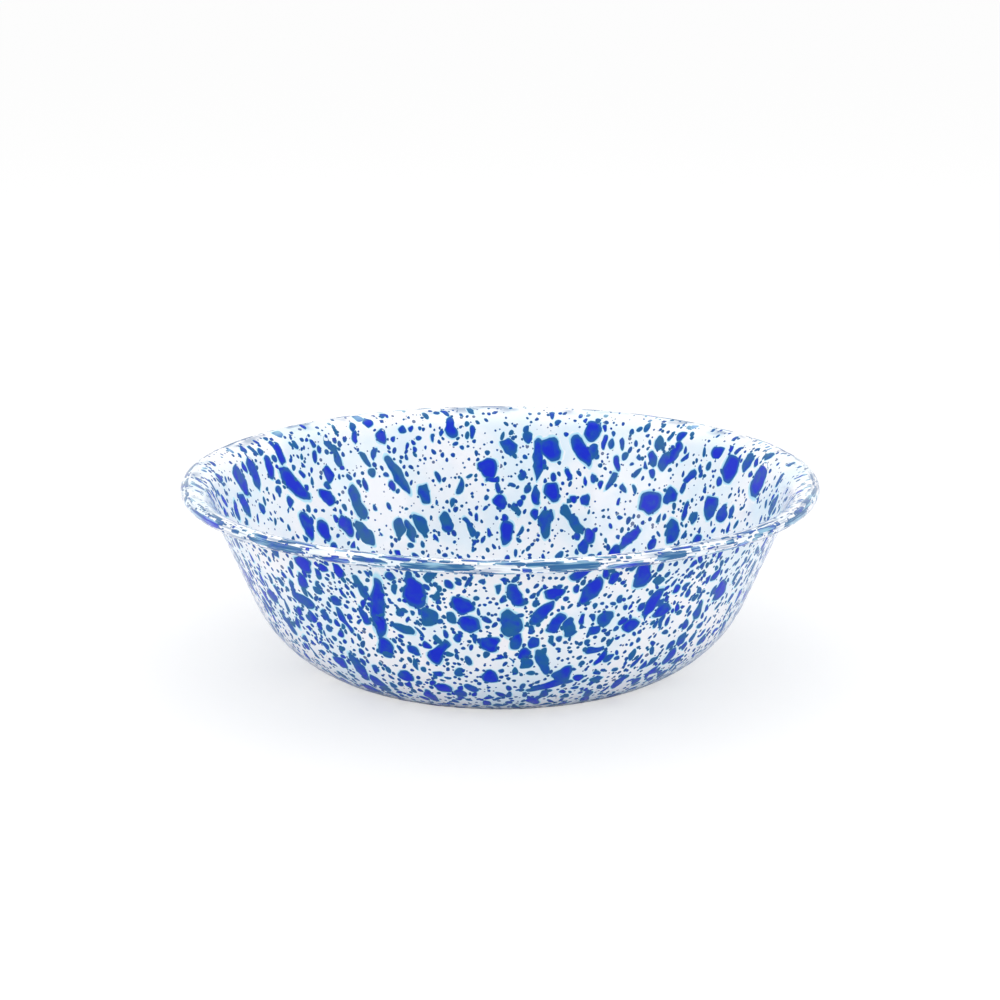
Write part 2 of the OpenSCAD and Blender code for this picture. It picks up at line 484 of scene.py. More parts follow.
def scatter_tree(plant):
    """Scatters drops of one class of sizes, each no wider than the room that the drops before it leave."""
    net = TreeNet("Scatter drops", [
        ("Surface", GEOMETRY), ("Taken", GEOMETRY), ("Molds", GEOMETRY), ("Layer", FLOAT),
        ("Spacing", FLOAT), ("Amount", FLOAT), ("Smallest", FLOAT), ("Largest", FLOAT),
        ("Stretch", FLOAT), ("Reach", FLOAT), ("Lean", FLOAT), ("Gap", FLOAT), ("Merging", FLOAT),
        ("Swell", FLOAT), ("Patchiness", FLOAT), ("Across", FLOAT), ("Outermost", FLOAT),
        ("Bare ring", FLOAT), ("Bare width", FLOAT), ("Seed", WHOLE)])
    given = net.given
    place = net.place()
    patches = net.noise(place, PATCH_SIZE, detail=3.0)[0].eased(PATCH_LOW, PATCH_HIGH)
    kept = given["Amount"] * (1 - given["Patchiness"] * (1 - patches))
    points = net.add("GeometryNodeDistributePointsOnFaces", {"distribute_method": "POISSON"},
                     Mesh=given["Surface"], Distance_Min=given["Spacing"],
                     Density_Max=OFFERED / given["Spacing"] ** 2.0, Density_Factor=kept,
                     Seed=given["Seed"])["Points"]

    radius = from_axis(net.parts(place))
    off_ring = (radius - given["Bare ring"]).absolute() - given["Bare width"]
    off_edge = EDGE_SHARE * (given["Outermost"] - radius)
    to_drop = net.nearest_face(given["Taken"], place)["Distance"]
    merges = net.random(0.0, 1.0, 6) < given["Merging"]
    overlap = given["Smallest"] * (OVERLAP_SHARE + MERGING_SHARE * merges)
    room = (to_drop + overlap).least(off_ring).least(off_edge) - given["Gap"]

    # The powers make small drops and round ones the commonest
    wish = given["Smallest"] + (given["Largest"] - given["Smallest"]) * net.random(0.0, 1.0, 1) ** 2.0
    width = wish.least(2 * room)
    stretch = 1 + (given["Stretch"] - 1) * net.random(0.0, 1.0, 2) ** 1.5
    length = (width * stretch).least(given["Reach"] * room).most(width)
    crowded = width < CROWDED_SHARE * given["Smallest"]
    thinned = net.add("GeometryNodeDeleteGeometry", {"domain": "POINT"}, points, crowded)[0]

    # Half of the drops are turned end for end
    turned_round = math.pi * net.random(0.0, 1.0, 4).rounded()
    turn = given["Lean"] * net.random(-1.0, 1.0, 3) + turned_round
    drops = net.group(plant, Points=thinned, Surface=given["Surface"], Molds=given["Molds"],
                      Length=length, Width=width, Turn=turn, Tone=net.random(0.0, 1.0, 5),
                      Across=given["Across"], Seed=given["Seed"])
    own_swell = given["Swell"] * ((1 - TONE_SHARE) + TONE_SHARE * net.attribute("tone"))
    swollen = net.stored(drops, "POINT", "swell", own_swell)
    layered = net.stored(swollen, "POINT", "layer", given["Layer"])
    return net.result(net.add("GeometryNodeJoinGeometry", {}, [given["Taken"], layered])[0])


# Molds of drops: sides of the outline, rings up its slope and across its flat top, how wide the top is, and
# how blunt the outline is
MOLDS = {
    "blob": (30, 2, 2, 0.6, 0.12),
    "dab": (24, 2, 1, 0.45, 0.08),
    "drop": (17, 2, 1, 0.45, 0.06),
    "drip": (11, 2, 1, 0.4, 0.06),
    "spot": (10, 1, 1, 0.0, 0.0),
    "speck": (7, 1, 1, 0.0, 0.0),
    "streak": (16, 1, 3, 0.8, 0.5),
}

# Layers of drops, the first one first: mold, spacing, smallest and largest width in millimetres, stretch, how
# long a drop may be as a share of its room, lean in degrees, height as a share, and patchiness
FACE_LAYERS = (
    ("blob", 14, 5.0, 9.0, 2.6, 2.8, 25, 1.0, 0.7),
    ("dab", 9, 3.6, 6.5, 2.8, 2.8, 30, 0.97, 0.65),
    ("drop", 5.5, 2.8, 5.0, 3.0, 2.9, 30, 0.9, 0.6),
    ("drip", 4.0, 2.2, 3.8, 2.6, 2.9, 35, 0.8, 0.5),
    ("spot", 3.3, 1.7, 3.0, 2.2, 2.9, 40, 0.7, 0.4),
    ("spot", 3.0, 1.3, 2.3, 1.8, 2.9, 60, 0.6, 0.35),
    ("speck", 3.6, 0.9, 1.4, 1.6, 2.9, 90, 0.45, 0.2),
)
RIM_LAYERS = (
    ("streak", 9, 2.2, 3.8, 9.0, 18.0, 5, 1.0, 0.2),
    ("streak", 5, 1.2, 2.4, 8.0, 14.0, 6, 0.9, 0.2),
    ("streak", 3, 0.8, 1.5, 8.0, 14.0, 8, 0.75, 0.2),
    ("spot", 2.2, 0.6, 1.2, 6.0, 9.0, 12, 0.7, 0.2),
)

# How many layers, counted from the first, take the amounts for large drops
LARGE_LAYERS = 2

# First and last layer in each piece of a face's splatter
FACE_PIECES = {"blobs": (0, 0), "dabs": (1, 1), "drops": (2, 2), "drips": (3, 3), "specks": (4, 6)}
RIM_PIECE = (0, 3)

# Share of drops that may run into a neighbour
MERGING = 0.6

# Least X, Y and Z of a drop, in metres. Only Z matters, and it keeps the drop just clear of the table
LOWEST = (-1.0, -1.0, 0.002 * MM)

# Distances from a listed mark over which the amount of large drops changes
NEAR_MARK = 0.5 * PATCH_SIZE
FAR_MARK = 1.6 * PATCH_SIZE

# Layers over which drops come to move as a whole, and how far they do so in the end, as a share
WHOLE_LAYERS = (1.5, 4.5)
WHOLE_SHARE = 0.85


def wander(net, place, size, reach, detail):
    """A push of up to half of reach either way, that changes over the given size."""
    noise = net.noise(place, size.most(MM), detail)["Color"]
    return net.scaled(net.vector("SUBTRACT", noise, (0.5, 0.5, 0.5)), reach)


def splatter_tree(name, layers, lathe, plant, scatter, molds):
    """All the drops on one face of the basin, largest first, then wandered, laid on the enamel and finished.

    Near the listed marks, large drops come at Large amount, and far from them at Far amount."""
    net = TreeNet(name, [
        ("Section", GEOMETRY), ("Placed", OBJECT), ("Around", WHOLE), ("Amount", FLOAT),
        ("Large amount", FLOAT), ("Far amount", FLOAT), ("Gap", FLOAT), ("Thickness", FLOAT),
        ("Bury", FLOAT), ("Wobble", FLOAT), ("Wobble size", FLOAT), ("Ripple", FLOAT),
        ("Ripple size", FLOAT), ("Across", FLOAT), ("Outermost", FLOAT), ("Bare ring", FLOAT),
        ("Bare width", FLOAT), ("Seed", WHOLE), ("First layer", FLOAT), ("Last layer", FLOAT),
        ("Material", MATERIAL)])
    given = net.given
    surface = net.group(lathe, Section=given["Section"], Around=given["Around"])
    marks = net.add("GeometryNodeObjectInfo", {}, given["Placed"])["Geometry"]
    points = net.add("GeometryNodeMeshToPoints", {}, marks)[0]
    placed = net.group(plant, Points=points, Surface=surface, Molds=net.group(molds[layers[0][0]]),
                       Length=net.attribute("long"), Width=net.attribute("wide"),
                       Turn=net.attribute("turn"), Tone=net.attribute("tone"),
                       Across=given["Across"], Seed=given["Seed"])
    taken = net.stored(net.stored(placed, "POINT", "swell", 1.0), "POINT", "layer", 0.0)

    to_mark = net.add("GeometryNodeProximity", {"target_element": "POINTS"}, Geometry=marks)["Distance"]
    far = to_mark.eased(NEAR_MARK, FAR_MARK)
    large_amount = given["Large amount"] * (1 - far) + given["Far amount"] * far
    for order, layer in enumerate(layers):
        mold_name, spacing, smallest, largest, stretch, reach, lean, swell, patchiness = layer
        amount = large_amount if order < LARGE_LAYERS else given["Amount"]
        taken = net.group(
            scatter, Surface=surface, Taken=taken, Molds=net.group(molds[mold_name]), Layer=float(order),
            Spacing=spacing * MM, Amount=amount, Smallest=smallest * MM, Largest=largest * MM,
            Stretch=stretch, Reach=reach, Lean=math.radians(lean), Gap=given["Gap"], Merging=MERGING,
            Swell=swell, Patchiness=patchiness, Across=given["Across"], Outermost=given["Outermost"],
            Bare_ring=given["Bare ring"], Bare_width=given["Bare width"], Seed=given["Seed"] + 20 * order)
    layer = net.attribute("layer")
    unwanted = (layer < given["First layer"] - 0.5).most(layer > given["Last layer"] + 0.5)
    kept = net.add("GeometryNodeDeleteGeometry", {"domain": "POINT"}, taken, unwanted)[0]

    # A large drop's outline wanders point by point, and a small drop moves almost as a whole
    place = net.place()
    together = WHOLE_SHARE * layer.eased(*WHOLE_LAYERS)
    sampled = net.between(together, place, net.attribute("middle", "FLOAT_VECTOR"))
    broad = wander(net, sampled, given["Wobble size"], given["Wobble"], 1.0)
    fine = wander(net, sampled, given["Ripple size"], given["Ripple"], 0.0)
    target = net.vector("ADD", place, net.vector("ADD", broad, fine))
    nearest = net.nearest_face(surface, target)["Position"]
    normal = net.vector("NORMALIZE", net.normal_at(surface, target))
    thickness = given["Thickness"] + given["Bury"]
    proud = net.attribute("rise") * net.attribute("swell") * thickness - given["Bury"]
    lifted = net.vector("ADD", nearest, net.scaled(normal, proud))
    laid = net.moved(kept, net.vector("MAXIMUM", lifted, LOWEST))
    smooth = net.add("GeometryNodeSetShadeSmooth", {}, Geometry=laid, Shade_Smooth=True)[0]
    return net.painted(net.add("GeometryNodeRemoveAttribute", {}, smooth, "middle")[0])


# The basin's section

# Height of one row of faces on the straight wall
WALL_ROW = 6 * MM


class Section:
    """Tangent arcs and lines, worked out from the sizes. A point is (radius, height).

    depth is counted from the outer face of the basin towards its inside, and a slope is the angle at which
    the sheet climbs away from the axis."""

    def __init__(self, shape):
        self.shape = shape
        rise = shape.panel_rise
        self.step_slope = math.acos(1 - rise / (2 * shape.step_radius))
        self.land_inner = shape.foot_radius - shape.land_width
        self.panel_radius = self.land_inner - 2 * shape.step_radius * math.sin(self.step_slope)
        self.step_top = Vector((self.panel_radius, rise - shape.step_radius))
        self.step_low = Vector((self.land_inner, shape.step_radius))
        self.knuckle = Vector((shape.foot_radius, shape.knuckle_radius))
        apart = shape.belly_radius - shape.knuckle_radius
        self.belly = self.knuckle + apart * self.inward(shape.knuckle_slope)
        self.roll = Vector((shape.rim_radius - shape.roll_radius, shape.height - shape.roll_radius))
        reach = shape.roll_radius - shape.flare_radius - shape.sheet
        self.flare = self.roll + reach * self.inward(shape.flare_slope)
        across = self.flare - self.belly
        lift = math.asin((shape.belly_radius + shape.flare_radius) / across.length)
        self.wall_slope = math.atan2(across.y, across.x) + lift

    @staticmethod
    def inward(slope):
        """Direction into the basin, square to a sheet that climbs at that slope."""
        return Vector((-math.sin(slope), math.cos(slope)))

    def arc(self, centre, radius, start, stop, step):
        """Points from slope start to slope stop.

        The radius is negative where the sheet curls up around its centre."""
        count = max(1, math.ceil(abs(stop - start) / step))
        return [centre + radius * self.inward(start + (stop - start) * i / count) for i in range(count + 1)]

    def bottom(self, depth):
        """Centre panel, foot ring and knuckle."""
        shape = self.shape
        step = shape.arc_step
        return ([Vector((0.0, shape.panel_rise + depth))]
                + self.arc(self.step_top, shape.step_radius + depth, 0, -self.step_slope, step)
                + self.arc(self.step_low, depth - shape.step_radius, -self.step_slope, 0, step)
                + self.arc(self.knuckle, depth - shape.knuckle_radius, 0, shape.knuckle_slope, step))

    def side(self, depth, stop):
        """Belly, wall and flange, up to the slope at which the flange stops."""
        shape = self.shape
        step = shape.arc_step
        low = self.arc(self.belly, depth - shape.belly_radius, shape.knuckle_slope, self.wall_slope, step)
        high = self.arc(self.flare, shape.flare_radius + depth, self.wall_slope, stop, step)
        rows = round((high[0] - low[-1]).length / WALL_ROW)
        wall = [low[-1].lerp(high[0], i / rows) for i in range(1, rows)]
        return low + wall + high

    def rolled(self, depth, turn):
        """The rolled edge, from the flange on."""
        shape = self.shape
        radius = shape.roll_radius - shape.sheet + depth
        return self.arc(self.roll, radius, shape.flare_slope, shape.flare_slope - turn, shape.roll_step)


def without_repeats(points):
    return [p for i, p in enumerate(points) if i == 0 or (p - points[i - 1]).length > SAME_POINT]


def section_object(name, points):
    """A wire whose vertices are (radius, 0, height), for the lathe."""
    corners = [(p.x, 0.0, p.y) for p in without_repeats(points)]
    mesh = bpy.data.meshes.new(name)
    mesh.from_pydata(corners, [(i, i + 1) for i in range(len(corners) - 1)], [])
    made = bpy.data.objects.new(name, mesh)
    bpy.context.scene.collection.objects.link(made)
    return made


def set_inputs(modifier, tree, values):
    """Sets a modifier's inputs by the identifiers of their sockets."""
    names = {item.name: item.identifier for item in tree.interface.items_tree
             if item.item_type == "SOCKET" and item.in_out == "INPUT"}
    for label, value in values.items():
        modifier[names[label]] = value


def grown(base, tree, values):
    """Runs a tree on the base object and leaves its result as the object's plain mesh."""
    modifier = base.modifiers.new(tree.name, "NODES")
    modifier.node_group = tree
    set_inputs(modifier, tree, values)
    graph = bpy.context.evaluated_depsgraph_get()
    mesh = bpy.data.meshes.new_from_object(base.evaluated_get(graph), depsgraph=graph)
    base.modifiers.remove(modifier)
    wire = base.data
    base.data = mesh
    bpy.data.meshes.remove(wire)
    mesh.name = base.name
    return base


def tree_of(name, make):
    """The node group of that name, made the first time that it is asked for."""
    return bpy.data.node_groups.get(name) or make()


def lathe():
    return tree_of("Lathe", lathe_tree)


# Materials

def material_net(name):
    material = bpy.data.materials.get(name) or bpy.data.materials.new(name)
    material.use_nodes = True
    material.node_tree.nodes.clear()
    return material, Net(material.node_tree)


def finished(net, colour, roughness, bump, **plain):
    """Ends a material with a Principled shader.

    bump is its height, depth and strength, and plain numbers go to the shader's own sockets."""
    height, depth, strength = bump
    normal = net.add("ShaderNodeBump", {}, Height=height, Distance=depth, Strength=strength)[0]
    shader = net.add("ShaderNodeBsdfPrincipled", {}, Base_Color=colour, Roughness=roughness, Normal=normal,
                     **plain)
    net.add("ShaderNodeOutputMaterial", {}, Surface=shader[0])


def object_place(net):
    return net.add("ShaderNodeTexCoord", {})["Object"]


def stored_number(net, name):
    """A number that the geometry nodes stored on each drop."""
    return net.add("ShaderNodeAttribute", {"attribute_name": name})["Fac"]


# Radius of the widest speck of mist, as a share of the distance between specks
MIST_SHARE = 0.34


def mist(net, place, size, share):
    """Round specks at random: 1 on a speck. share thins them out."""
    cell = net.add("ShaderNodeTexVoronoi", {"voronoi_dimensions": "3D"}, Vector=place, Scale=1 / size)
    pick = net.add("ShaderNodeSeparateColor", {}, cell["Color"])
    radius = MIST_SHARE * pick["Green"] ** 2.0
    return (cell["Distance"] < radius) * (pick["Red"] < share)


# Width of the painted reflection lines along the rim, and how fast they change along it, as a share of across
# it
REFLECTION_LINE_WIDTH = 1.1 * MM
REFLECTION_LINE_SHARE = 0.07


def rim_reflections(net, place):
    """Painted reflections along the rolled rim: fine lines of noise stretched around it, and a mask that
    fades them out below it.
    """
    shape = bpy.context.scene.basin_shape
    at = net.parts(place)
    radius = from_axis(at)
    stretched_around = net.xyz(REFLECTION_LINE_SHARE * at["X"], REFLECTION_LINE_SHARE * at["Y"], at["Z"] - 0.5 * radius)
    # Painted reflection: these lines stand for what the glossy roll reflects, not for lines in the enamel
    lines = net.noise(stretched_around, REFLECTION_LINE_WIDTH, detail=2.5)[0]
    no_lines = shape.rim_radius - 3.5 * shape.roll_radius
    all_lines = shape.rim_radius - 2 * shape.roll_radius
    return lines, radius.eased(no_lines, all_lines)


def white_enamel():
    """Glossy white glass: a faint cool unevenness, an orange-peel surface, a mist of fine blue specks and
    painted teal reflections along the rim.
    """
    look = bpy.context.scene.basin_enamel
    blue = bpy.context.scene.basin_splatter
    material, net = material_net("white_enamel")
    place = object_place(net)
    thinner = net.noise(place, 30 * MM, detail=3.0)[0].eased(0.35, 0.7)
    glass = net.blend(thinner, look.white, look.shade)

    # Two mists of blue specks, a fine and a coarse one, then painted teal reflections along the rim
    fine = mist(net, place, 1.8 * MM, 0.25)
    coarse = mist(net, place, 3.6 * MM, 0.35)
    misted = net.blend((fine * 0.85).most(coarse * 0.9), glass, blue.navy)
    lines, on_rim = rim_reflections(net, place)
    # Painted reflection: teal lines over the white along the rim, standing for what the glossy roll reflects
    teal_reflected = net.blend(lines.eased(0.48, 0.68) * 0.6 * on_rim, misted, blue.teal)
    peel = net.noise(place, 5 * MM)[0]
    rough = 0.05 + 0.05 * net.noise(place, 18 * MM)[0]
    finished(net, teal_reflected, rough, (peel, 0.04 * MM, 0.5), IOR=1.5)
    return material


# Rise of a drop's surface, from 0 at its rim to 1 on its top, over which white turns to halo, halo to blue,
# and the greener edge to the body's colour
HALO_RISE = (0.08, 0.24)
BLUE_RISE = (0.25, 0.36)
BODY_RISE = (0.4, 1.0)


def blue_enamel(name, coat, greening):
    """Glossy blue glass: cobalt where it lies thick, greener at the thin edge, and no two drops alike.

    Around each drop a pale halo fades out into the white. coat is the weight of the clear gloss over the
    blue, and greening turns more of the drops to teal."""
    look = bpy.context.scene.basin_splatter
    white = bpy.context.scene.basin_enamel.white
    material, net = material_net(name)
    place = object_place(net)
    tone = stored_number(net, "tone")
    rise = stored_number(net, "rise")
    swell = stored_number(net, "swell")

    # The tone of a drop, the flow of the melt within it and its region turn it from cobalt to teal
    flow = net.noise(place, 7 * MM, detail=3.0)[0]
    region = net.noise(place, 45 * MM)[0]
    teal_share = (tone * 0.7 + (flow - 0.5) * 1.8 + (region - 0.5) * 0.8 + greening).eased(0.0, 0.9)
    body = net.blend(teal_share, look.cobalt, look.teal)

    # Low drops are the small ones, and they are darker
    small = (1 - swell).eased(0.05, 0.5)
    darkened = net.blend(small * 0.7, body, look.navy)
    greener = net.blend((1 - rise.eased(*BODY_RISE)) * 0.8, darkened, look.teal)
    skirt = net.blend(rise.eased(*HALO_RISE), white, look.halo)
    colour = net.blend(1 - rise.eased(*BLUE_RISE), greener, skirt)

    # Painted pale reflections cross the blue along the rim
    lines, on_rim = rim_reflections(net, place)
    # Painted reflection: pale lines over the blue along the rim, standing for the light that the glossy roll
    # reflects
    pale_reflected = net.blend((1 - lines.eased(0.34, 0.52)) * 0.6 * on_rim, colour, look.halo)
    peel = net.noise(place, 2.5 * MM)[0]
    rough = 0.06 + 0.06 * net.noise(place, 9 * MM)[0]
    finished(net, pale_reflected, rough, (peel, 0.02 * MM, 0.4), IOR=1.45, Specular_IOR_Level=0.22,
             Coat_Weight=coat, Coat_Roughness=0.05)
    return material


def ground_enamel():
    """Dark bonding enamel, hidden under the white."""
    look = bpy.context.scene.basin_enamel
    material, net = material_net("ground_enamel")
    place = object_place(net)
    cloudy = net.noise(place, 6 * MM, detail=4.0)[0]
    colour = net.blend(cloudy * 0.4, look.ground, look.steel)
    finished(net, colour, 0.25 + 0.2 * cloudy, (cloudy, 0.02 * MM, 0.4), IOR=1.5)
    return material


def drawn_steel():
    """Drawn sheet steel, with fine drawing lines around the axis."""
    look = bpy.context.scene.basin_enamel
    material, net = material_net("drawn_steel")
    place = object_place(net)
    at = net.parts(place)
    lines = net.noise(net.xyz(from_axis(at), 0.0, at["Z"]), 0.4 * MM, detail=4.0)[0]
    stain = net.noise(place, 20 * MM, detail=3.0)[0]
    colour = net.blend(stain * 0.35, look.steel, look.ground)
    finished(net, colour, 0.3 + 0.2 * lines, (lines, 0.01 * MM, 0.5), Metallic=1.0)
    return material


# Pieces

def finish_piece(piece, node):
    """Rides on the basin's one body and stands for its CAD node, which it hides."""
    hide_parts(node)
    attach(piece, BODY)


class BASIN_OT_white_coats(bpy.types.Operator):
    """Turn the two white coats of enamel from the basin's section"""
    bl_idname = "basin.white_coats"
    bl_label = "White coats"

    def execute(self, context):
        shape = context.scene.basin_shape
        section = Section(shape)
        under = shape.sheet - shape.cover
        face = section.bottom(shape.sheet) + section.side(shape.sheet, shape.flare_slope)
        face += section.rolled(shape.sheet, shape.roll_turn)
        back = section.bottom(under) + section.side(under, shape.flare_slope)
        back += section.rolled(under, shape.roll_turn)
        outer = section.bottom(0.0) + section.side(0.0, shape.under_stop)
        outer_back = section.bottom(shape.cover) + section.side(shape.cover, shape.under_stop)
        outlines = {"inner_white_coat": back + face[::-1], "outer_white_coat": outer + outer_back[::-1]}
        tree = tree_of("Enamel coat", lambda: coat_tree(lathe()))
        material = white_enamel()
        for node, outline in outlines.items():
            wire = section_object(node.replace("coat", "enamel"), outline)
            piece = grown(wire, tree, {"Around": shape.around, "Material": material})
            finish_piece(piece, node)
        return {"FINISHED"}


# Large drops, given one by one, facing the camera: degrees to the right of the middle, then height, length
# and width in millimetres, lean to the left in degrees, and tone from cobalt to teal
INNER_MARKS = (
    (-3, 61, 11, 10, 0, 0), (-2, 53, 5, 9, 0, 0.2), (0, 46, 9, 8, 40, 0), (2, 71, 12, 8, 50, 0.3),
    (9, 68, 26, 6, 0, 0.3), (12, 73, 17, 11, 35, 0.3), (19, 69, 22, 8, 35, 0.2), (21, 80, 14, 10, -15, 0),
    (24, 77, 8, 3, 0, 0.2), (13, 49, 12, 8, 20, 0), (12, 34, 18, 8, 0, 0.6), (17, 40, 13, 5, 45, 0.8),
    (20, 33, 14, 6, 45, 0.7), (24, 30, 8, 7, 0, 0), (39, 50, 15, 14, 0, 0), (44, 57, 12, 10, 0, 0.1),
    (37, 72, 11, 5, 30, 0.6), (40, 70, 11, 7, -20, 0.4), (42, 78, 15, 7, -25, 0.1), (54, 79, 8, 8, 0, 0),
    (60, 75, 18, 13, -5, 0), (65, 81, 12, 8, 0, 0.5), (72, 75, 22, 13, 0, 0.1), (58, 55, 15, 10, 0, 0.3),
    (63, 56, 13, 8, 0, 0.4), (36, 32, 18, 6, -40, 0.2), (33, 24, 8, 7, 0, 0.5), (23, 25, 8, 7, 0, 0.3),
    (-11, 82, 14, 6, 10, 0), (-25, 62, 27, 6, 25, 0.8), (-19, 50, 11, 8, 10, 0.6), (-37, 52, 22, 8, 10, 0.8),
    (-40, 78, 22, 5, 20, 0.9), (-43, 66, 11, 5, 0, 0), (-54, 67, 27, 10, 35, 0), (-45, 53, 13, 7, 40, 0.1),
    (-55, 79, 16, 7, 0, 0.1), (-60, 77, 15, 7, 0, 0), (-66, 78, 19, 9, 0, 0.4), (-72, 74, 22, 9, 0, 0.3),
    (-75, 66, 16, 8, 0, 0.3), (-54, 43, 17, 8, 10, 0.1), (-49, 38, 16, 8, 10, 0), (-42, 42, 16, 8, 25, 0.1),
    (-37, 33, 19, 6, 30, 1), (-27, 33, 11, 6, 10, 0.9), (-24, 32, 13, 6, 10, 0.8), (-21, 33, 16, 6, 20, 0.6),
    (-14, 35, 14, 6, 20, 0.6), (-8, 32, 13, 4, 20, 0.6),
)
OUTER_MARKS = (
    (-24, 60, 42, 7.5, -10, 0.1), (-16, 70, 23, 10, 3, 0), (-45, 61, 15, 5, 0, 0.4),
    (-43, 52, 13, 8, 80, 0.3), (-28, 57, 14, 4, 10, 0.1), (-33, 48, 17, 5, 20, 0.2),
    (-34, 24, 22, 7, 5, 0.4), (-13, 37, 18, 7, -30, 0),
    (-25, 39, 13, 8, -25, 0), (-7, 65, 13, 9, 20, 0.1), (-6, 53, 11, 10, 80, 0.2), (-20, 50, 13, 6, 70, 0.9),
    (-2, 42, 10, 9, 0, 0), (-2, 27, 9, 8, -30, 0), (-13, 18, 9, 8, 0, 0.2), (-39, 74, 11, 10, 0, 0),
    (-31, 76, 9, 5, 0, 0), (2, 56, 18, 10, 0, 0.6), (3, 69, 16, 7, 25, 0.2), (10, 71, 10, 8, 0, 0),
    (8, 62, 18, 6, -35, 0.1), (11, 55, 14, 6, -25, 0.1), (15, 79, 15, 6, -50, 0.1), (17, 69, 18, 8, -25, 0.3),
    (21, 75, 9, 5, 0, 0), (27, 73, 16, 9, 0, 0.1), (31, 61, 20, 7, -20, 0.2), (34, 56, 9, 9, 0, 0.4),
    (27, 48, 11, 8, 0, 0.2), (19, 51, 7, 7, 0, 0.3), (20, 38, 5, 9, 0, 0), (22, 33, 10, 5, -30, 0),
    (5, 40, 8, 6, 0, 0), (7, 43, 7, 6, 0, 0), (9, 33, 17, 6, 15, 0.5), (14, 27, 13, 9, -20, 0.2),
    (18, 24, 6, 6, 0, 0), (11, 19, 26, 5, -70, 0.2), (42, 27, 12, 6, -10, 0.3), (39, 20, 8, 6, 0, 0.4),
)
RIM_MARKS = (
    (-62, 87, 38, 4, 0, 0), (-40, 87, 34, 4, 0, 0.7), (-10, 87, 34, 4, 0, 1), (12, 87, 24, 4, 0, 1),
    (29, 87, 15, 4, 0, 0.9), (62, 87, 30, 4, 0, 0.8),
)

# Angles around the axis at which the camera sees the middle of the inside and of the outside
FAR_MIDDLE = 90
NEAR_MIDDLE = -90

# How far round the roll, and up to which slope of the flange, the splatter goes, in degrees
RIM_TURN = 215
OUTSIDE_STOP = 35


def mark_finder(line, foot_radius, middle, rightward):
    """A function that finds a mark's place on the turned line, outside the foot.

    rightward is 1 where the turn grows to the camera's right, and -1 where it shrinks."""
    def place(mark):
        turn = math.radians(middle + rightward * mark[0])
        found = min(line, key=lambda p: abs(p.y - mark[1] * MM) + (1 if p.x < foot_radius else 0))
        return (found.x * math.cos(turn), found.x * math.sin(turn), found.y)
    return place


def marks_object(name, place_of, marks):
    """Points for the listed drops, with their sizes and turns."""
    mesh = bpy.data.meshes.new(name)
    mesh.from_pydata([place_of(mark) for mark in marks], [], [])
    for key, index, unit in (("long", 2, MM), ("wide", 3, MM), ("turn", 4, math.pi / 180), ("tone", 5, 1.0)):
        values = mesh.attributes.new(key, "FLOAT", "POINT")
        values.data.foreach_set("value", [mark[index] * unit for mark in marks])
    made = bpy.data.objects.new(name, mesh)
    bpy.context.scene.collection.objects.link(made)
    return made


def splatter_trees():
    """The trees that make the splatter of a face and of the rim."""
    plant = tree_of("Plant drops", plant_tree)
    scatter = tree_of("Scatter drops", lambda: scatter_tree(plant))
    molds = {}
    for name, row in MOLDS.items():
        label = "Molds of " + name
        molds[name] = tree_of(label, lambda: molds_tree(label, *row))

    def splatter(name, layers):
        return tree_of(name, lambda: splatter_tree(name, layers, lathe(), plant, scatter, molds))

    return splatter("Face splatter", FACE_LAYERS), splatter("Rim splatter", RIM_LAYERS)


